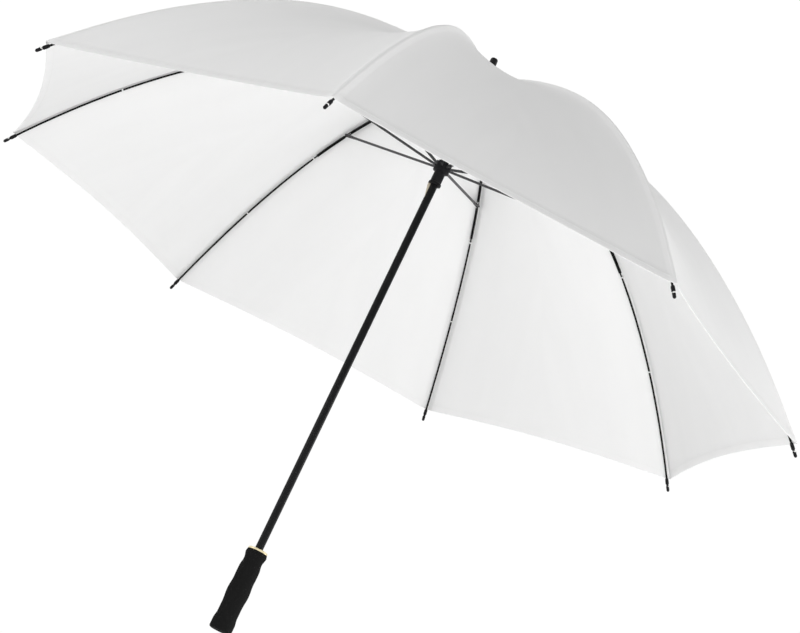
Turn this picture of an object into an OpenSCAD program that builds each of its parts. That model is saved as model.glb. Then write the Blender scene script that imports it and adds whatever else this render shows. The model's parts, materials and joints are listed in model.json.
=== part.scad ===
// Golf umbrella, open: steel shaft, two slotted hubs, eight ribs with stretchers,
// eight canopy gores and a foam grip. Millimetres, +Z up the shaft, origin at the
// centre of the grip's end face.

/* [Overall] */
// Height of the ferrule's tip above the grip's end
overall_length = 966; // [960:1:975]
// Distance of the rib tips from the shaft's axis
canopy_radius = 650; // [640:1:655]
// How far a rib falls from the crown to its tip
canopy_drop = 366; // [360:1:372]
// Height of the ribs' pivots in the crown
crown_z = 919; // [917:0.5:921]

/* [Shaft] */
// Outer radius of the shaft tube
shaft_r = 6; // [5.8:0.1:6]
// Wall of the shaft tube
shaft_wall = 0.8; // [0.7:0.1:0.9]
// Height of the shaft's lower end inside the grip
shaft_foot_z = 16; // [14:1:20]

/* [Hubs] */
// Outer radius of the slotted hubs
hub_r = 12.5; // [12.5:0.1:13]
// Radius of the wire ring that the rib and stretcher ends turn on
pivot_r = 10; // [10:0.05:10.1]
// Radius of the wire itself
wire_r = 0.6; // [0.5:0.05:0.6]
// Width of each slot in the hubs
slot_w = 4; // [4:0.05:4.1]
// Running clearance of the runner on the shaft
runner_clearance = 0.06; // [0.05:0.01:0.09]

/* [Ribs] */
// Distance from the shaft's axis to the stretcher's rivet
joint_r = 320; // [318:1:322]
// Distance from the shaft's axis to the end of the outer channel
crimp_r = 382; // [378:1:386]
// Width of the rib channel
channel_w = 3.6; // [3.5:0.05:3.6]
// Height of the rib channel
channel_h = 3.2; // [3:0.1:3.2]
// Thickness of the channel's sheet steel
channel_wall = 0.5; // [0.4:0.05:0.5]
// Radius of the spring steel rod
rod_r = 1.2; // [1.1:0.05:1.2]
// Radius of the rod beyond its crimped end
rod_wide_r = 1.6; // [1.4:0.05:1.6]
// Radius of the rivet through rib and stretcher
rivet_r = 0.7; // [0.6:0.05:0.7]

/* [Canopy] */
// How far a gore dips between its ribs, halfway out
gore_sag = 26; // [20:1:28]
// How far the hem curves in between two tips
hem_curve = 15; // [10:1:18]
// How far the hem hangs below the ribs between two tips
hem_drop = 12; // [8:1:14]
// Thickness given to the canopy's cloth
cloth_t = 1; // [0.8:0.1:1]

/* [Grip] */
// Height of the foam grip
grip_h = 124; // [122:1:126]
// Radius of the grip's waist
grip_r = 15.4; // [15.2:0.1:15.6]
// Radius of the grip's end
grip_end_r = 17; // [16.8:0.1:17.2]

/* [Hidden] */
RIBS = 8;
STEP = 360 / RIBS;
curve = 2.25;

// node names, rib by rib

tube_r = shaft_r - shaft_wall;
hub_floor = 2.4;
slot_root_r = 7.6;
eye_r = 1.9;
eye_hole_r = 0.85;
gap = 0.25;

// the rib's curve: level at the crown, falling ever faster to the tip
function drop(r) = canopy_drop * pow(r / canopy_radius, curve);
function slope(r) = canopy_drop * curve / canopy_radius * pow(r / canopy_radius, curve - 1);
function rib_z(r) = crown_z - drop(r);
function rib_angle(r) = atan(slope(r));
// a point at height h above the rib's middle line, square to it
function rib_point(r, h) =
    [r + h * sin(rib_angle(r)), rib_z(r) + h * cos(rib_angle(r))];

// rib and stretcher are equally long from rivet to pivot, so the runner moves straight
joint_z = rib_z(joint_r);
runner_pivot_z = 2 * joint_z - crown_z;
link_length = norm([joint_r - pivot_r, crown_z - joint_z]);
link_angle = atan((crown_z - joint_z) / (joint_r - pivot_r));

runner_bottom_z = runner_pivot_z - 31;
runner_top_z = runner_pivot_z + 6.5;
crown_bottom_z = crown_z - 6;
crown_top_z = crown_z + 3;
washer_z = crown_top_z + 2.9;
washer_t = 1.5;
tip_length = 22;
rod_h = -0.25;
bottom_catch_z = 262;
strip_steps = 20;

// ---- shapes shared by several pieces ----

// puts a child drawn in the XZ plane of rib i in its place
module at_rib(i) rotate([0, 0, STEP * (i - 0.5)]) children();

// stands a flat outline in the XZ plane and gives it a width along Y
module upright(width) rotate([90, 0, 0]) translate([0, 0, -width / 2]) linear_extrude(width) children();

// a strip that follows the rib's curve from r0 to r1, between two heights
module rib_strip(r0, r1, low, high, width) {
    stops = [for (k = [0:strip_steps]) r0 + (r1 - r0) * k / strip_steps];
    upright(width)
        polygon(concat([for (r = stops) rib_point(r, high)],
                       [for (k = [strip_steps:-1:0]) rib_point(stops[k], low)]));
}

// a cylinder lying along Y
module cross_pin(x, z, r, width)
    translate([x, width / 2, z]) rotate([90, 0, 0]) cylinder(h = width, r = r, $fn = 32);

// the ring of slots that hub pieces share
module slots(z0, z1)
    for (i = [1:RIBS]) at_rib(i)
        translate([slot_root_r, -slot_w / 2, z0]) cube([hub_r, slot_w, z1 - z0]);

// a wire ring
module ring(z, r) translate([0, 0, z])
    rotate_extrude($fn = 96) translate([pivot_r, 0]) circle(r = r, $fn = 24);

// ---- shaft and its ends ----

module spring_slot(z0, z1, angle)
    rotate([0, 0, angle]) translate([shaft_r - 2.2, -1.4, z0]) cube([4, 2.8, z1 - z0]);

module shaft() {
    color("#161616")
    difference() {
        translate([0, 0, shaft_foot_z])
            cylinder(h = washer_z + washer_t - shaft_foot_z, r = shaft_r, $fn = 64);
        translate([0, 0, shaft_foot_z - 1])
            cylinder(h = washer_z + washer_t - shaft_foot_z + 2, r = tube_r, $fn = 64);
        spring_slot(runner_bottom_z - 36, runner_bottom_z + 1, 180);
        spring_slot(bottom_catch_z - 30, bottom_catch_z + 3, 90);
    }
}

// moulded cap with a spigot inside the tube
module ferrule() {
    base_z = washer_z + washer_t;
    dome = 3.5;
    color("#1b1b1b")
    rotate_extrude($fn = 64)
        polygon(concat(
            [[0, base_z - 24], [tube_r - 0.05, base_z - 24], [tube_r - 0.05, base_z],
             [8, base_z], [8, base_z + 2], [6.6, base_z + 5]],
            [for (a = [0:15:90])
                [2.3 + dome * cos(a), overall_length - dome + dome * sin(a)]],
            [[0, overall_length]]));
}

// top hub: slots open downwards for the rib ends
module crown() {
    color("#202020")
    difference() {
        translate([0, 0, crown_bottom_z])
            cylinder(h = crown_top_z - crown_bottom_z, r = hub_r, $fn = 96);
        translate([0, 0, crown_bottom_z - 1])
            cylinder(h = crown_top_z - crown_bottom_z + 2, r = shaft_r, $fn = 64);
        slots(crown_bottom_z - 1, crown_z + hub_floor - 0.2);
        ring(crown_z, wire_r + 0.03);
    }
}

module crown_wire() color("silver") ring(crown_z, wire_r);

module canopy_washer() {
    color("#202020")
    difference() {
        translate([0, 0, washer_z]) cylinder(h = washer_t, r = 11, $fn = 64);
        translate([0, 0, washer_z - 1]) cylinder(h = washer_t + 2, r = shaft_r, $fn = 64);
    }
}

// ---- runner and the two catches ----

module runner() {
    head_z = runner_pivot_z - 8;
    color("#1d1d1d")
    difference() {
        rotate_extrude($fn = 96)
            polygon([[0, runner_bottom_z], [10, runner_bottom_z], [10, runner_bottom_z + 3],
                     [8.6, runner_bottom_z + 4.4], [8.6, head_z - 2], [hub_r, head_z],
                     [hub_r, runner_top_z], [0, runner_top_z]]);
        translate([0, 0, runner_bottom_z - 1])
            cylinder(h = runner_top_z - runner_bottom_z + 2, r = shaft_r + runner_clearance,
                     $fn = 64);
        slots(runner_pivot_z - hub_floor, runner_top_z + 1);
        ring(runner_pivot_z, wire_r + 0.03);
    }
}

module runner_wire() color("silver") ring(runner_pivot_z, wire_r);

// sprung wedge: square at its top end, tapered below, so the runner rides over it
module catch_wedge(top_z, angle) {
    reach = shaft_r + 3.4;
    color("#c9bfa6")
    rotate([0, 0, angle])
        upright(1.8)
            polygon([[3.4, top_z - 30], [3.4, top_z], [reach, top_z], [reach + 0.3, top_z - 3],
                     [shaft_r - 0.2, top_z - 22], [4.6, top_z - 30]]);
}

module top_spring() catch_wedge(runner_bottom_z - 0.6, 180);

module bottom_spring() catch_wedge(bottom_catch_z, 90);

// ---- grip ----

// a smooth hump of height 1 round z0, half_width wide to each side
function hump(z, z0, half_width) =
    abs(z - z0) < half_width ? (1 + cos(180 * (z - z0) / half_width)) / 2 : 0;
function grip_radius(z) = grip_r + 1.4 * hump(z, 60, 20) + 0.3 * hump(z, 90, 16)
    - 1.4 * hump(z, 109, 11) + 0.8 * hump(z, 121, 10);

module grip() {
    straight = 12;
    corner = 3;
    bore_z = 8;
    color("#1a1a1a")
    difference() {
        rotate_extrude($fn = 96)
            polygon(concat(
                [[0, 0]],
                [for (a = [-90:15:0])
                    [grip_end_r - corner + corner * cos(a), corner + corner * sin(a)]],
                [[grip_end_r, corner + straight]],
                [for (z = [24:3:grip_h - 3]) [grip_radius(z), z]],
                [[grip_radius(grip_h) - 0.8, grip_h], [0, grip_h]]));
        translate([0, 0, bore_z]) cylinder(h = grip_h, r = 9, $fn = 64);
    }
}

// plastic socket inside the foam, which the shaft is pressed into
module grip_core() {
    color("#2c2c2c")
    difference() {
        translate([0, 0, 8]) cylinder(h = grip_h - 8, r = 9, $fn = 64);
        translate([0, 0, shaft_foot_z]) cylinder(h = grip_h, r = shaft_r, $fn = 64);
    }
}

module grip_ring() {
    color("#d8c48c")
    difference() {
        translate([0, 0, grip_h])
            rotate_extrude($fn = 96)
                polygon([[0, 0], [14.6, 0], [15, 0.6], [15, 2.8], [14.2, 3.6], [0, 3.6]]);
        translate([0, 0, grip_h - 1]) cylinder(h = 6, r = shaft_r, $fn = 64);
    }
}

// ---- ribs ----

// channel from the crown to the rivet; its cheeks run on round the rivet
module inner_rib(i) {
    half = channel_h / 2;
    inside_w = channel_w - 2 * channel_wall;
    color("#131313")
    at_rib(i) {
        difference() {
            union() {
                cross_pin(pivot_r, crown_z, eye_r, channel_w - 0.4);
                translate([pivot_r, -(channel_w - 0.4) / 2, crown_z - 1.3])
                    cube([5, channel_w - 0.4, 2.6]);
                rib_strip(pivot_r + 3.4, joint_r, -half, half, channel_w);
                cross_pin(joint_r, joint_z, half + 0.4, channel_w);
            }
            rib_strip(pivot_r + 7, joint_r - 6, -half - 1, half - channel_wall, inside_w);
            rib_strip(joint_r - 7, joint_r + 6, -half - 2, half + 2, inside_w);
            cross_pin(pivot_r, crown_z, eye_hole_r, 8);
        }
        // rivet: a pin with a head outside each cheek of the stretcher
        cross_pin(joint_r, joint_z, rivet_r, channel_w + 2 * (gap + 0.8) + 0.2);
        for (side = [-1, 1])
            translate([0, side * (channel_w / 2 + gap + 0.8 + 0.4), 0])
                cross_pin(joint_r, joint_z, 1.5, 0.6);
    }
}

// channel beyond the rivet, with a tongue between the inner rib's cheeks, and the rod
// crimped into it that runs on to the tip
module outer_rib(i) {
    half = channel_h / 2;
    inside_w = channel_w - 2 * channel_wall;
    rod_start = crimp_r - 12;
    rod_end = canopy_radius - 8;
    color("#131313")
    at_rib(i) {
        difference() {
            union() {
                cross_pin(joint_r, joint_z, half - 0.1, inside_w - 0.3);
                rib_strip(joint_r, joint_r + 9, 0.1 - half, half - 0.1, inside_w - 0.3);
                rib_strip(joint_r + 5, crimp_r, -half, half, channel_w);
            }
            rib_strip(joint_r + 9, crimp_r + 1, -half - 1, half - channel_wall, inside_w);
            cross_pin(joint_r, joint_z, rivet_r + 0.05, 8);
        }
        rod(rod_start, rod_end);
    }
}

// round rod along the rib's curve, drawn thinner where it is crimped
function rod_at(r) = rod_r + (rod_wide_r - rod_r) * min(1, max(0, (r - crimp_r - 6) / 6));
module rod(r0, r1) {
    sides = 10;
    rings = 18;
    points = [for (k = [0:rings], s = [0:sides - 1])
        let (r = r0 + (r1 - r0) * k / rings, a = 360 * s / sides,
             p = rib_point(r, rod_h + rod_at(r) * sin(a)))
            [p[0], rod_at(r) * cos(a), p[1]]];
    walls = [for (k = [0:rings - 1], s = [0:sides - 1])
        let (n = (s + 1) % sides, b = k * sides)
            each [[b + s, b + sides + n, b + n], [b + s, b + sides + s, b + sides + n]]];
    ends = [[for (s = [0:sides - 1]) s], [for (s = [sides - 1:-1:0]) rings * sides + s]];
    polyhedron(points, concat(walls, ends));
}

// moulded tip on the rod's end: collar, waisted eye for the sewing thread, nose
module rib_tip(i) {
    end = rib_point(canopy_radius, rod_h);
    color("#0f0f0f")
    at_rib(i)
        translate([end[0], 0, end[1]])
            rotate([0, 90 + rib_angle(canopy_radius - 7), 0])
                translate([0, 0, -tip_length])
                    difference() {
                        rotate_extrude($fn = 32)
                            polygon([[0, 0], [2.4, 0], [2.8, 2.5], [2.8, 9], [1.9, 10.5],
                                     [1.9, 12.5], [2.5, 13.5], [2.4, tip_length - 2],
                                     [1.7, tip_length - 0.6], [0.8, tip_length],
                                     [0, tip_length]]);
                        translate([0, 0, -1]) cylinder(h = 11, r = rod_wide_r + 0.16, $fn = 24);
                    }
}

// ---- stretchers ----

// drawn lying along X from its runner end, then turned to reach the rivet
module stretcher(i) {
    half = 1.5;
    fork = 24;
    cheek_y = channel_w / 2 + gap;
    cheek_t = 0.8;
    outer_w = 2 * (cheek_y + cheek_t);
    bar_end = link_length - fork + 5;
    color("#5c5d60")
    at_rib(i)
        translate([pivot_r, 0, runner_pivot_z])
            rotate([0, -link_angle, 0])
                difference() {
                    union() {
                        cross_pin(0, 0, eye_r, channel_w - 0.4);
                        translate([0, -(channel_w - 0.4) / 2, -1.3]) cube([5, channel_w - 0.4, 2.6]);
                        translate([3.4, -channel_w / 2, -half])
                            cube([bar_end - 3.4, channel_w, 2 * half]);
                        translate([link_length - fork, -outer_w / 2, -half - 0.3])
                            cube([fork, outer_w, 2 * half + 0.6]);
                        cross_pin(link_length, 0, half + 0.3, outer_w);
                    }
                    cross_pin(0, 0, eye_hole_r, 8);
                    cross_pin(link_length, 0, rivet_r + 0.05, 12);
                    translate([8, -channel_w / 2 + channel_wall, -half - 1])
                        cube([link_length - fork - 12, channel_w - 2 * channel_wall,
                              2 * half + 1 - channel_wall]);
                    translate([link_length - fork + 5, -cheek_y, -9]) cube([40, 2 * cheek_y, 18]);
                }
}

// ---- canopy ----

// height of the cloth over the rib's middle line: it clears the crown, rivets and tips
function cloth_lift(r) = 2.85 + 2.5 * pow(max(0, 1 - r / 60), 2)
    + 1.3 * pow(max(0, 1 - pow((r - joint_r) / 150, 2)), 2)
    + 1.9 * pow(max(0, (r - 600) / 40), 2);
// how far the middle of a gore hangs below its ribs
function cloth_sag(r) = gore_sag * sin(180 * pow(r / canopy_radius, 1.15))
    + hem_drop * pow(r / canopy_radius, 5);
// its share at a place across the gore: rounded over the rib, then steep
function cloth_fall(b) = 4 * b * (1 - b) * (1 - 0.8 * exp(-min(b, 1 - b) / 0.03));
function hem_r(a) = canopy_radius - 12 - hem_curve * pow(4 * a * (1 - a), 1.1);

// a point of one gore: t runs from the crown to the hem, a from one rib to the next
function cloth_point(t, a, h) =
    let (inner = 7, r = inner + (hem_r(a) - inner) * t,
         p = rib_point(r, cloth_lift(r) + h), edge = 0.2 / (2 * p[0] * sin(STEP / 2)),
         b = edge + (1 - 2 * edge) * a, half = STEP / 2,
         x = p[0] * cos(half), y = p[0] * sin(half) * (2 * b - 1),
         sag = cloth_sag(r) * cloth_fall(b))
    [x, y, p[1] - sag];

// one cut panel, sewn to its neighbours along the ribs
module gore(i) {
    along = 18;
    places = [0, 0.03, 0.12, 0.25, 0.375, 0.5, 0.625, 0.75, 0.88, 0.97, 1];
    across = len(places) - 1;
    row = across + 1;
    sheet = row * (along + 1);
    points = [for (h = [0, cloth_t], k = [0:along], s = [0:across])
        cloth_point(k / along, places[s], h)];
    quads = [for (k = [0:along - 1], s = [0:across - 1]) k * row + s];
    lower = [for (q = quads) each [[q, q + row, q + 1], [q + 1, q + row, q + row + 1]]];
    upper = [for (f = lower) [f[2] + sheet, f[1] + sheet, f[0] + sheet]];
    rim = concat([for (s = [0:across]) s], [for (k = [1:along]) k * row + across],
                 [for (s = [across - 1:-1:0]) along * row + s], [for (k = [along - 1:-1:1]) k * row]);
    walls = [for (k = [0:len(rim) - 1])
        let (p = rim[k], q = rim[(k + 1) % len(rim)])
            each [[p, q, q + sheet], [p, q + sheet, p + sheet]]];
    color("#efefef")
    rotate([0, 0, STEP * i]) polyhedron(points, concat(lower, upper, walls));
}

// ---- assembly ----

shaft();
ferrule();
crown();
crown_wire();
canopy_washer();
runner();
runner_wire();
top_spring();
bottom_spring();
grip();
grip_core();
grip_ring();
for (i = [1:RIBS]) {
    inner_rib(i);
    outer_rib(i);
    rib_tip(i);
    stretcher(i);
    gore(i);
}
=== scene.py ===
import json
import math

import bpy
from mathutils import Matrix, Vector


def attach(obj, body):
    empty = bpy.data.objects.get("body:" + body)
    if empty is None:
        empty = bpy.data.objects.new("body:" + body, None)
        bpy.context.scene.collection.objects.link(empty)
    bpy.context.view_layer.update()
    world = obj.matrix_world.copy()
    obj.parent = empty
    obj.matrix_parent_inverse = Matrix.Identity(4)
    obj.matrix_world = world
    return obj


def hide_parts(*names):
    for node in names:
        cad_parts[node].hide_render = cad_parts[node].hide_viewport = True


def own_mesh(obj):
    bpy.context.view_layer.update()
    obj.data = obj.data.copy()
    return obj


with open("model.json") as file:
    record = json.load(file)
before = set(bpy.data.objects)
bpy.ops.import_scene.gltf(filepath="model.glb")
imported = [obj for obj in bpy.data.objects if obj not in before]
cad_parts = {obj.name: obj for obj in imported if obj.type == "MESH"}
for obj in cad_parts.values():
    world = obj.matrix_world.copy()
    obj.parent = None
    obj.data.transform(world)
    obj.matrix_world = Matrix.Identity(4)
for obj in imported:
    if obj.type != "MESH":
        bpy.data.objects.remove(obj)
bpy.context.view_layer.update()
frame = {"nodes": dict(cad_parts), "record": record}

# ---- Studio ----
# The umbrella hangs in the air over a pale floor, leaning in the view as it does in a
# hand. A soft box stands high on either side, a smaller one low in front lights the
# inside of the canopy, and a room with pale walls and a dim ceiling fills in.
camera_at = Vector((-0.4595, -3.2073, -0.3622))
camera_yaw, camera_pitch, camera_roll = (math.radians(a) for a in (81.16, 15.42, 25.53))
forward = Vector((math.cos(camera_pitch) * math.cos(camera_yaw),
                  math.cos(camera_pitch) * math.sin(camera_yaw), math.sin(camera_pitch)))
turn = forward.to_track_quat("-Z", "Y").to_matrix().to_4x4()
camera_data = bpy.data.cameras.new("camera")
camera_data.lens = 102.2
camera_data.sensor_width = 36
camera_data.clip_end = 100
camera = bpy.data.objects.new("camera", camera_data)
camera.matrix_world = Matrix.Translation(camera_at) @ turn @ Matrix.Rotation(camera_roll, 4, "Z")
bpy.context.collection.objects.link(camera)
bpy.context.scene.camera = camera
bpy.context.scene.view_settings.view_transform = "Standard"

world = bpy.data.worlds.new("studio")
world.use_nodes = True
wall, ceiling = 1.02, 0.1
wall_top, ceiling_rim = math.radians(32), math.radians(58)
room = world.node_tree
heading = room.nodes.new("ShaderNodeTexCoord")
parts = room.nodes.new("ShaderNodeSeparateXYZ")
glow = room.nodes.new("ShaderNodeMapRange")
glow.interpolation_type = "SMOOTHSTEP"
glow.inputs["From Min"].default_value = math.sin(wall_top)
glow.inputs["From Max"].default_value = math.sin(ceiling_rim)
glow.inputs["To Min"].default_value = wall
glow.inputs["To Max"].default_value = ceiling
room.links.new(heading.outputs["Generated"], parts.inputs["Vector"])
room.links.new(parts.outputs["Z"], glow.inputs["Value"])
room.links.new(glow.outputs["Result"], room.nodes["Background"].inputs["Strength"])
room.nodes["Background"].inputs["Color"].default_value = (1, 1, 1, 1)
bpy.context.scene.world = world


def soft_box(name, at, aim, size, power):
    """One square studio light, turned towards a point."""
    data = bpy.data.lights.new(name, "AREA")
    data.shape = "SQUARE"
    data.size = size
    data.energy = power
    light = bpy.data.objects.new(name, data)
    direction = Vector(aim) - Vector(at)
    facing = direction.to_track_quat("-Z", "Y").to_matrix().to_4x4()
    light.matrix_world = Matrix.Translation(at) @ facing
    bpy.context.collection.objects.link(light)


soft_box("left_box", (-3.6, -0.6, 2.0), (0, 0, 0.7), 1.6, 34)
soft_box("low_box", (0.6, -1.6, -0.6), (0, 0.3, 0.8), 0.8, 18)
soft_box("right_box", (3.6, 0.0, 1.8), (0, 0, 0.7), 1.6, 48)


def material(name, color, roughness, metallic=0.0, shine=0.5):
    """A Principled material, ready for its pattern; shine is the strength of its gloss."""
    made = bpy.data.materials.new(name)
    made.use_nodes = True
    shader = made.node_tree.nodes["Principled BSDF"]
    shader.inputs["Base Color"].default_value = (*color, 1)
    shader.inputs["Roughness"].default_value = roughness
    shader.inputs["Metallic"].default_value = metallic
    shader.inputs["Specular IOR Level"].default_value = shine
    return made, made.node_tree, shader


def speckle(tree, shader, color_a, color_b, scale, rough_a, rough_b, bump, stretch=(1, 1, 1)):
    """Cloudy colour, gloss and height from one noise, which can be drawn out along an axis."""
    coords = tree.nodes.new("ShaderNodeTexCoord")
    place = tree.nodes.new("ShaderNodeMapping")
    place.inputs["Scale"].default_value = stretch
    noise = tree.nodes.new("ShaderNodeTexNoise")
    noise.inputs["Scale"].default_value = scale
    noise.inputs["Detail"].default_value = 6
    tint = tree.nodes.new("ShaderNodeMix")
    tint.data_type = "RGBA"
    tint.inputs["A"].default_value = (*color_a, 1)
    tint.inputs["B"].default_value = (*color_b, 1)
    gloss = tree.nodes.new("ShaderNodeMapRange")
    gloss.inputs["To Min"].default_value = rough_a
    gloss.inputs["To Max"].default_value = rough_b
    height = tree.nodes.new("ShaderNodeBump")
    height.inputs["Distance"].default_value = bump
    height.inputs["Strength"].default_value = 0.6
    tree.links.new(coords.outputs["Object"], place.inputs["Vector"])
    tree.links.new(place.outputs["Vector"], noise.inputs["Vector"])
    tree.links.new(noise.outputs["Fac"], tint.inputs["Factor"])
    tree.links.new(tint.outputs["Result"], shader.inputs["Base Color"])
    tree.links.new(noise.outputs["Fac"], gloss.inputs["Value"])
    tree.links.new(gloss.outputs["Result"], shader.inputs["Roughness"])
    tree.links.new(noise.outputs["Fac"], height.inputs["Height"])
    tree.links.new(height.outputs["Normal"], shader.inputs["Normal"])


floor_mesh = bpy.data.meshes.new("floor")
floor_z, floor_half = -1.0, 30
floor_mesh.from_pydata([(-floor_half, -floor_half, floor_z), (floor_half, -floor_half, floor_z),
                        (floor_half, floor_half, floor_z), (-floor_half, floor_half, floor_z)],
                       [], [(0, 1, 2, 3)])
floor = bpy.data.objects.new("floor", floor_mesh)
bpy.context.collection.objects.link(floor)
floor_paint, floor_tree, floor_shader = material("floor_paint", (0.93, 0.93, 0.93), 0.8)
speckle(floor_tree, floor_shader, (0.92, 0.92, 0.92), (0.95, 0.95, 0.95), 3, 0.75, 0.85, 0.0005)
floor_mesh.materials.append(floor_paint)

# ---- Shaft ----
# A drawn steel tube, 12 mm across, dipped in black lacquer, with two slots cut through
# its wall for the catches. The lacquer is glossy, with faint draw lines along the tube.
def dress(made, *nodes):
    """Gives CAD nodes a finish."""
    for node in nodes:
        slots = frame["nodes"][node].material_slots
        for k in range(len(slots)):
            slots[k].link = "OBJECT"
            slots[k].material = made


lacquer, tree, shader = material("black_lacquer", (0.006, 0.006, 0.007), 0.3, 0.0, 0.12)
speckle(tree, shader, (0.003, 0.003, 0.003), (0.009, 0.009, 0.01), 700, 0.22, 0.38, 0.00004, (1, 1, 0.02))
dress(lacquer, "shaft")

# ---- Hubs and ferrule ----
# The crown, its washer and the ferrule are injection moulded in black nylon. The grain
# The grain is fine and matt, its gloss varying a little from place to place.
nylon, tree, shader = material("black_nylon", (0.008, 0.008, 0.009), 0.5, 0.0, 0.14)
speckle(tree, shader, (0.005, 0.005, 0.006), (0.012, 0.012, 0.013), 900, 0.38, 0.6, 0.00006)
dress(nylon, "ferrule", "crown", "canopy_washer")

# ---- Wire rings ----
# Two rings of bright drawn wire hold the ends of the ribs in the crown's slots, and the
# ends of the stretchers in the runner's.
wire, tree, shader = material("drawn_wire", (0.62, 0.62, 0.63), 0.3, 1.0)
speckle(tree, shader, (0.52, 0.52, 0.53), (0.68, 0.68, 0.69), 2500, 0.2, 0.4, 0.00002)
dress(wire, "crown_wire", "runner_wire")

# ---- Ribs ----
# Each rib is a rolled steel channel from the crown past the stretcher's rivet, with a
# round spring rod crimped into its end. Both are stove enamelled black.
RIBS = range(1, 9)
enamel, tree, shader = material("black_enamel", (0.005, 0.005, 0.005), 0.35, 0.0, 0.12)
speckle(tree, shader, (0.003, 0.003, 0.003), (0.008, 0.008, 0.008), 600, 0.28, 0.45, 0.00005)
for i in RIBS:
    dress(enamel, f"inner_rib_{i}", f"outer_rib_{i}")

# ---- Rib tips ----
# Moulded black caps pressed on the rod ends, waisted for the thread that ties the
# canopy's corner down.
for i in RIBS:
    dress(nylon, f"rib_tip_{i}")

# ---- Stretchers ----
# Forked channels of zinc-plated steel, dulled to a mid grey. Each is pinned in the runner
# and riveted astride its rib.
zinc, tree, shader = material("dull_zinc", (0.07, 0.07, 0.072), 0.4, 0.5, 0.3)
speckle(tree, shader, (0.045, 0.045, 0.047), (0.10, 0.10, 0.103), 500, 0.3, 0.5, 0.00005)
for i in RIBS:
    dress(zinc, f"stretcher_{i}")

# ---- Runner ----
# A black nylon slider with a flanged thumb rim, running on the shaft. It is moulded of
# the same nylon as the hubs.
dress(nylon, "runner")

# ---- Catches ----
# Sprung wedges of plated steel that stand out through the shaft's slots. The upper one
# holds the umbrella open and the lower one holds it closed.
plate, tree, shader = material("plated_spring", (0.66, 0.60, 0.47), 0.3, 1.0)
speckle(tree, shader, (0.58, 0.52, 0.40), (0.74, 0.68, 0.55), 900, 0.22, 0.4, 0.00003)
dress(plate, "top_spring", "bottom_spring")

# ---- Grip ----
# A sleeve of black closed-cell foam pushed over a nylon socket, matt, with a fine cell
# texture, and a pressed ring of pale brass over its top end.
foam, tree, shader = material("cell_foam", (0.007, 0.007, 0.007), 0.9, 0.0, 0.08)
speckle(tree, shader, (0.003, 0.003, 0.003), (0.011, 0.011, 0.011), 1400, 0.75, 0.95, 0.0002)
dress(nylon, "grip_core")
dress(foam, "grip")
brass, tree, shader = material("pale_brass", (0.80, 0.70, 0.44), 0.25, 1.0)
speckle(tree, shader, (0.74, 0.63, 0.38), (0.86, 0.77, 0.53), 300, 0.18, 0.34, 0.00003, (1, 1, 12))
dress(brass, "grip_ring")

# ---- Canopy ----
# Eight gores of white polyester, sewn together along the ribs and hemmed. The cloth is
# stretched over the ribs, so it dips between them. Each piece here is the cloth on both
# sides of one rib, out to the middle of the gores, in two lengths that meet over the
# stretcher's rivet, where the rib bends as it closes.
joints = {j["name"]: j for j in frame["record"]["behaviour"]["joints"]}
pivot = Vector(joints["rib_1_fold"]["pos_m"])
rivet = Vector(joints["rib_1_flex"]["pos_m"])
crown_z = pivot.z
rivet_r = math.hypot(rivet.x, rivet.y)
canopy_r = 0.650
canopy_drop = 0.366
curve = math.log((crown_z - rivet.z) / canopy_drop) / math.log(rivet_r / canopy_r)
step = math.radians(45)
gore_sag = 0.026
hem_drop = 0.012
hem_curve = 0.015
hole_r = 0.007
cloth_t = 0.0004
hem_w = 0.009
ridge_h = 0.003
ridge_w = 0.0075
tuck = 0.018
least_half = 0.0005
middle_r = 0.3
hem_inset = 0.012
inner_rows, outer_rows, tuck_rows = 44, 44, 3
near_columns, far_columns, near_step = 8, 12, 0.0013


def rib_point(r, above):
    """The point at a height over the rib's middle line, in the rib's own plane."""
    lean = math.atan(canopy_drop * curve / canopy_r * (r / canopy_r) ** (curve - 1))
    up = crown_z - canopy_drop * (r / canopy_r) ** curve
    return r + above * math.sin(lean), up + above * math.cos(lean)


def cloth_lift(r):
    """Height of the middle of the cloth over the rib's middle line."""
    return (0.0031 + 0.0025 * max(0, 1 - r / 0.06) ** 2
            + 0.0013 * max(0, 1 - ((r - rivet_r) / 0.15) ** 2) ** 2
            + 0.0016 * max(0, (r - 0.6) / 0.04) ** 2)


def cloth_sag(r):
    """How far the middle of a gore hangs below its ribs."""
    return gore_sag * math.sin(math.pi * (r / canopy_r) ** 1.15) + hem_drop * (r / canopy_r) ** 5


def cloth_fall(b):
    """The sag's share at a place across the gore: rounded over the rib, then steep."""
    return 4 * b * (1 - b) * (1 - 0.8 * math.exp(-b / 0.03))


def half_width(r):
    """From the rib to the middle of the gore, square to the gore's centre line."""
    return r * math.sin(step / 2)


def hem_r(b):
    """Radius of the hem, which curves in between two ribs."""
    return canopy_r - hem_inset - hem_curve * (4 * b * (1 - b)) ** 1.1


def cloth_point(i, r, b, side, off):
    """b runs from the rib, 0, to the middle of the gore, 0.5, on side -1 or 1."""
    beside = 2 * b * half_width(r)
    ridge = ridge_h * math.exp(-(beside / ridge_w) ** 2) * min(1, r / 0.1)
    out, up = rib_point(r, cloth_lift(r) + ridge + off)
    x = out * (1 - b * (1 - math.cos(step)))
    y = side * out * b * math.sin(step)
    z = up - cloth_sag(r) * cloth_fall(b)
    angle = step * (i - 0.5)
    return (x * math.cos(angle) - y * math.sin(angle), x * math.sin(angle) + y * math.cos(angle), z)


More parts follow.
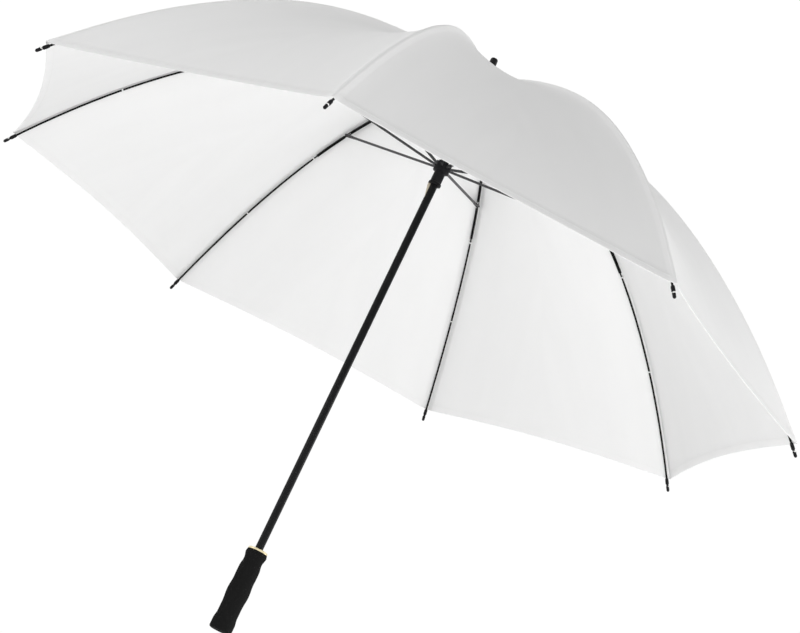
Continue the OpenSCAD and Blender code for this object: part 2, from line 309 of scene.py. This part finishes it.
def sheet_mesh(name, i, rows, places, low, high):
    """A closed thin sheet over one rib. places(r) gives its columns there as (b, side) pairs,
    rows(b) the radii of its rows, and low(k) and high(k) the offsets of its two faces."""
    columns = [rows(b) for b, side in places(middle_r)]
    n, count = len(columns), len(rows(0))
    points, faces, uvs = [], [], []
    for offset in (high, low):
        for k in range(count):
            for c in range(n):
                b, side = places(columns[c][k])[c]
                r = rows(b)[k]
                points.append(cloth_point(i, r, b, side, offset(k)))
                uvs.append((side * b * 2 * half_width(r), r))
    wide = count * n
    for k in range(count - 1):
        for c in range(n - 1):
            a = k * n + c
            faces.append((a, a + n, a + n + 1, a + 1))
            faces.append((wide + a, wide + a + 1, wide + a + n + 1, wide + a + n))
    rim = (list(range(n)) + [k * n + n - 1 for k in range(1, count)]
           + [(count - 1) * n + c for c in range(n - 2, -1, -1)] + [k * n for k in range(count - 2, 0, -1)])
    for p, q in zip(rim, rim[1:] + rim[:1]):
        faces.append((p, q, q + wide, p + wide))
    data = bpy.data.meshes.new(name)
    data.from_pydata(points, [], faces)
    layer = data.uv_layers.new(name="cloth")
    for loop in data.loops:
        layer.data[loop.index].uv = uvs[loop.vertex_index]
    data.update()
    data.shade_smooth()
    data.set_sharp_from_angle(angle=math.radians(50))
    return data


def gore_places(r):
    """Fine columns over the rib, wide ones towards the middle of the gore."""
    half = max(half_width(r), least_half)
    near = [near_step * k * min(1, half / 0.03) for k in range(near_columns + 1)]
    far = [near[-1] + (half - near[-1]) * k / far_columns for k in range(1, far_columns + 1)]
    plus = [(min(0.5, d / half / 2), 1) for d in near + far]
    return [(b, -1) for b, side in reversed(plus[1:])] + plus


def crown_rows(b):
    """From the washer's hole to the rivet, the same all the way across."""
    return [hole_r + (rivet_r - hole_r) * k / inner_rows for k in range(inner_rows + 1)]


def skirt_rows(b):
    """From a thin tuck inside the crown length, over the rivet, down to the folded hem."""
    hem = hem_r(b)
    start = [rivet_r - tuck * 2 * b * (1 - k / tuck_rows) - 0.0001 * (tuck_rows - k)
             for k in range(tuck_rows)]
    main = [rivet_r + (hem - hem_w - rivet_r) * k / outer_rows for k in range(outer_rows + 1)]
    return start + main + [hem - hem_w + 0.0004, hem - 0.0005, hem]


def skirt_face(k):
    """Half the skirt's thickness at a row: thin in the tuck, double in the hem."""
    if k < tuck_rows:
        return cloth_t * 0.12
    if k > tuck_rows + outer_rows:
        return cloth_t * (0.9 if k < tuck_rows + outer_rows + 3 else 0.6)
    return cloth_t * 0.5


cloth, tree, shader = material("white_cloth", (0.9, 0.9, 0.9), 0.6, 0.0, 0.25)
shader.inputs["Sheen Weight"].default_value = 0.08
uv = tree.nodes.new("ShaderNodeUVMap")
uv.uv_map = "cloth"
warp, weft = (tree.nodes.new("ShaderNodeTexWave") for k in range(2))
warp.bands_direction = "X"
weft.bands_direction = "Y"
for thread in (warp, weft):
    thread.inputs["Scale"].default_value = 620
    thread.inputs["Distortion"].default_value = 0.4
    tree.links.new(uv.outputs["UV"], thread.inputs["Vector"])
weave = tree.nodes.new("ShaderNodeMath")
weave.operation = "MAXIMUM"
tree.links.new(warp.outputs["Fac"], weave.inputs[0])
tree.links.new(weft.outputs["Fac"], weave.inputs[1])
pull = tree.nodes.new("ShaderNodeMapping")
pull.inputs["Scale"].default_value = (26, 5, 1)
creases = tree.nodes.new("ShaderNodeTexNoise")
creases.inputs["Scale"].default_value = 1
creases.inputs["Detail"].default_value = 3
tree.links.new(uv.outputs["UV"], pull.inputs["Vector"])
tree.links.new(pull.outputs["Vector"], creases.inputs["Vector"])
# The cloth's colour follows the crease noise: painted shade, darker in the hollows of the crease bump and
# lighter on its crests.
crease_shade_tint = tree.nodes.new("ShaderNodeMix")
crease_shade_tint.data_type = "RGBA"
crease_shade_tint.inputs["A"].default_value = (0.865, 0.865, 0.862, 1)
crease_shade_tint.inputs["B"].default_value = (0.905, 0.905, 0.902, 1)
tree.links.new(creases.outputs["Fac"], crease_shade_tint.inputs["Factor"])
tree.links.new(crease_shade_tint.outputs["Result"], shader.inputs["Base Color"])
fabric_gloss = tree.nodes.new("ShaderNodeMapRange")
fabric_gloss.inputs["To Min"].default_value = 0.52
fabric_gloss.inputs["To Max"].default_value = 0.68
tree.links.new(weave.outputs["Value"], fabric_gloss.inputs["Value"])
tree.links.new(fabric_gloss.outputs["Result"], shader.inputs["Roughness"])
fold_bump, weave_bump = (tree.nodes.new("ShaderNodeBump") for k in range(2))
fold_bump.inputs["Distance"].default_value = 0.0012
fold_bump.inputs["Strength"].default_value = 0.5
weave_bump.inputs["Distance"].default_value = 0.00003
weave_bump.inputs["Strength"].default_value = 0.5
tree.links.new(creases.outputs["Fac"], fold_bump.inputs["Height"])
tree.links.new(weave.outputs["Value"], weave_bump.inputs["Height"])
tree.links.new(fold_bump.outputs["Normal"], weave_bump.inputs["Normal"])
tree.links.new(weave_bump.outputs["Normal"], shader.inputs["Normal"])


def finish_piece(name, data, body):
    """Puts a finished mesh in the scene, riding on a body."""
    piece = bpy.data.objects.new(name, data)
    bpy.context.collection.objects.link(piece)
    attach(piece, body)
    return piece


def soft_piece(name, data, body):
    """A cloth piece riding on a body, with a mesh of its own."""
    piece = finish_piece(name, data, body)
    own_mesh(piece)
    return piece


for i in RIBS:
    for part, body, rows, face in (("crown", f"rib_{i}", crown_rows, lambda k: cloth_t * 0.5),
                                   ("skirt", f"rib_end_{i}", skirt_rows, skirt_face)):
        data = sheet_mesh(f"canopy_{part}_{i}", i, rows, gore_places, lambda k: -face(k), face)
        data.materials.append(cloth)
        piece = soft_piece(f"canopy_{part}_{i}", data, body)
        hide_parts(f"gore_{i}")

# ---- Seams and hem ----
# The gores are joined by a felled seam over each rib: a narrow welt outside, and the
# turned-in edges laid to one side within. White thread runs along both edges of the
# welt, and in one row along the hem.
thread_white, tree, shader = material("white_thread", (0.86, 0.86, 0.85), 0.55, 0.0, 0.25)
speckle(tree, shader, (0.80, 0.80, 0.79), (0.90, 0.90, 0.89), 2500, 0.45, 0.65, 0.00003)


strip_steps = 30


def strip_places(first, last, count):
    """Columns of a strip beside the rib, from one distance to another, the left side negative."""
    def places(r):
        half = max(half_width(r), least_half)
        scale = min(1, half / 0.02)
        found = []
        for k in range(count + 1):
            d = (first + (last - first) * k / max(count, 1)) * scale
            found.append((min(0.5, abs(d) / half / 2), 1 if d >= 0 else -1))
        return found
    return places


def strip_rows(part):
    """Rows of a strip along one length of the rib."""
    start, end = (hole_r + 0.006, rivet_r) if part == "crown" else (rivet_r, canopy_r - 0.0135)
    return lambda b: [start + (end - start) * k / strip_steps for k in range(strip_steps + 1)]


def thread_tree(name, **numbers):
    """A node tree from geometry to geometry, with number inputs and a material."""
    group = bpy.data.node_groups.new(name, "GeometryNodeTree")
    sockets = {}
    group.interface.new_socket("Geometry", in_out="INPUT", socket_type="NodeSocketGeometry")
    for label, value in numbers.items():
        item = group.interface.new_socket(label, in_out="INPUT", socket_type="NodeSocketFloat")
        item.default_value = value
        sockets[label] = item.identifier
    item = group.interface.new_socket("Material", in_out="INPUT", socket_type="NodeSocketMaterial")
    sockets["Material"] = item.identifier
    group.interface.new_socket("Geometry", in_out="OUTPUT", socket_type="NodeSocketGeometry")
    return group, sockets, group.nodes.new("NodeGroupInput"), group.nodes.new("NodeGroupOutput")


def stitch_tree():
    """Round stitches along the edges of a path: Pitch apart, Length long, Thread thick."""
    group, sockets, entry, end = thread_tree("stitch_row", Pitch=0.003, Length=0.0022, Thread=0.00018)
    path = group.nodes.new("GeometryNodeMeshToCurve")
    marks = group.nodes.new("GeometryNodeCurveToPoints")
    marks.mode = "LENGTH"
    thread = group.nodes.new("GeometryNodeMeshCylinder")
    thread.fill_type = "NGON"
    thread.inputs["Vertices"].default_value = 5
    place = group.nodes.new("GeometryNodeInstanceOnPoints")
    real = group.nodes.new("GeometryNodeRealizeInstances")
    paint = group.nodes.new("GeometryNodeSetMaterial")
    link = group.links.new
    link(entry.outputs["Geometry"], path.inputs["Mesh"])
    link(path.outputs["Curve"], marks.inputs["Curve"])
    link(entry.outputs["Pitch"], marks.inputs["Length"])
    link(entry.outputs["Thread"], thread.inputs["Radius"])
    link(entry.outputs["Length"], thread.inputs["Depth"])
    link(marks.outputs["Points"], place.inputs["Points"])
    link(marks.outputs["Rotation"], place.inputs["Rotation"])
    link(thread.outputs["Mesh"], place.inputs["Instance"])
    link(place.outputs["Instances"], real.inputs["Geometry"])
    link(real.outputs["Geometry"], paint.inputs["Geometry"])
    link(entry.outputs["Material"], paint.inputs["Material"])
    link(paint.outputs["Geometry"], end.inputs["Geometry"])
    return group, sockets


def run_nodes(name, data, group, sockets, **values):
    """The plain mesh that a node tree makes of a base mesh."""
    base = bpy.data.objects.new(name, data)
    bpy.context.collection.objects.link(base)
    change = base.modifiers.new("nodes", "NODES")
    change.node_group = group
    for label, value in values.items():
        change[sockets[label]] = value
    bpy.context.view_layer.update()
    made = bpy.data.meshes.new_from_object(base.evaluated_get(bpy.context.evaluated_depsgraph_get()))
    base.modifiers.remove(change)
    bpy.data.objects.remove(base)
    made.name = name
    return made


def path_mesh(name, paths):
    """Edges along each list of points."""
    points, edges = [], []
    for line in paths:
        edges += [(len(points) + k, len(points) + k + 1) for k in range(len(line) - 1)]
        points += line
    data = bpy.data.meshes.new(name)
    data.from_pydata(points, edges, [])
    return data


stitch_row, stitch_sockets = stitch_tree()
welt_t = 0.00018
thread_gap = 0.00012
welt_half, welt_row = 0.0036, 0.0029
lining_in, lining_out, lining_row = 0.0022, 0.0095, 0.0078
top = cloth_t * 0.5
for i in RIBS:
    for part, body in (("crown", f"rib_{i}"), ("skirt", f"rib_end_{i}")):
        rows = strip_rows(part)
        welt = sheet_mesh(f"welt_{part}_{i}", i, rows, strip_places(-welt_half, welt_half, 4),
                          lambda k: top - 0.00005, lambda k: top + welt_t)
        welt.materials.append(cloth)
        lining = sheet_mesh(f"seam_edge_{part}_{i}", i, rows, strip_places(lining_in, lining_out, 3),
                            lambda k: -top - welt_t, lambda k: -top + 0.00005)
        lining.materials.append(cloth)
        lines = []
        for d in (-welt_row, welt_row):
            at = strip_places(d, d, 0)
            lines.append([cloth_point(i, r, *at(r)[0], top + welt_t + thread_gap) for r in rows(0)[1:-1]])
        at = strip_places(lining_row, lining_row, 0)
        lines.append([cloth_point(i, r, *at(r)[0], -top - welt_t - thread_gap) for r in rows(0)[1:-1]])
        if part == "skirt":
            sweep = [(abs(k) / 40, 1 if k >= 0 else -1) for k in range(-20, 21)]
            for off in (cloth_t * 0.9 + 0.0001, -cloth_t * 0.9 - 0.0001):
                lines.append([cloth_point(i, hem_r(b) - hem_w + 0.0015, b, side, off) for b, side in sweep])
        thread = run_nodes(f"stitches_{part}_{i}", path_mesh("rows", lines), stitch_row, stitch_sockets,
                           Pitch=0.0032, Length=0.0022, Thread=0.0002, Material=thread_white)
        finish_piece(f"welt_{part}_{i}", welt, body)
        soft_piece(f"seam_edge_{part}_{i}", lining, body)
        soft_piece(f"stitches_{part}_{i}", thread, body)

# ---- Ties ----
# White thread is wound round the rib where its rod is crimped in, again half way down
# the rod, and through the waist of the tip.
def winding_tree():
    """A helix of thread: Radius to its middle, Turns, Height and Thread."""
    group, sockets, entry, end = thread_tree("thread_winding", Radius=0.0024, Turns=4.0, Height=0.002,
                                             Thread=0.0003)
    coil = group.nodes.new("GeometryNodeCurveSpiral")
    coil.inputs["Resolution"].default_value = 18
    ring = group.nodes.new("GeometryNodeCurvePrimitiveCircle")
    ring.inputs["Resolution"].default_value = 6
    solid = group.nodes.new("GeometryNodeCurveToMesh")
    solid.inputs["Fill Caps"].default_value = True
    paint = group.nodes.new("GeometryNodeSetMaterial")
    link = group.links.new
    link(entry.outputs["Turns"], coil.inputs["Rotations"])
    link(entry.outputs["Radius"], coil.inputs["Start Radius"])
    link(entry.outputs["Radius"], coil.inputs["End Radius"])
    link(entry.outputs["Height"], coil.inputs["Height"])
    link(entry.outputs["Thread"], ring.inputs["Radius"])
    link(coil.outputs["Curve"], solid.inputs["Curve"])
    link(ring.outputs["Curve"], solid.inputs["Profile Curve"])
    link(solid.outputs["Mesh"], paint.inputs["Geometry"])
    link(entry.outputs["Material"], paint.inputs["Material"])
    link(paint.outputs["Geometry"], end.inputs["Geometry"])
    return group, sockets


winding, winding_sockets = winding_tree()
tip_r = canopy_r + 0.0115
# radius along the rib, height over its middle line, and the winding's own radius
tie_places = ((0.3875, 0.0006, 0.0027), (0.515, 0.0004, 0.0022), (tip_r - 0.0175, 0.0005, 0.0023))
for i in RIBS:
    angle = step * (i - 0.5)
    wound = []
    for r, middle, radius in tie_places:
        made = run_nodes(f"tie_{i}", path_mesh("none", []), winding, winding_sockets,
                         Radius=radius, Turns=4.0, Height=0.0022, Thread=0.0003, Material=thread_white)
        out, up = rib_point(r, middle)
        ahead = Vector(rib_point(r + 0.001, middle)) - Vector((out, up))
        heading = Vector((ahead.x * math.cos(angle), ahead.x * math.sin(angle), ahead.y))
        at = Vector((out * math.cos(angle), out * math.sin(angle), up))
        made.transform(Matrix.Translation(at) @ heading.to_track_quat("Z", "Y").to_matrix().to_4x4())
        wound.append(made)
    joined = bpy.data.meshes.new(f"ties_{i}")
    points, faces = [], []
    for made in wound:
        start = len(points)
        points += [v.co[:] for v in made.vertices]
        faces += [[start + k for k in face.vertices] for face in made.polygons]
    joined.from_pydata(points, [], faces)
    joined.materials.append(thread_white)
    joined.shade_smooth()
    finish_piece(f"ties_{i}", joined, f"rib_end_{i}")
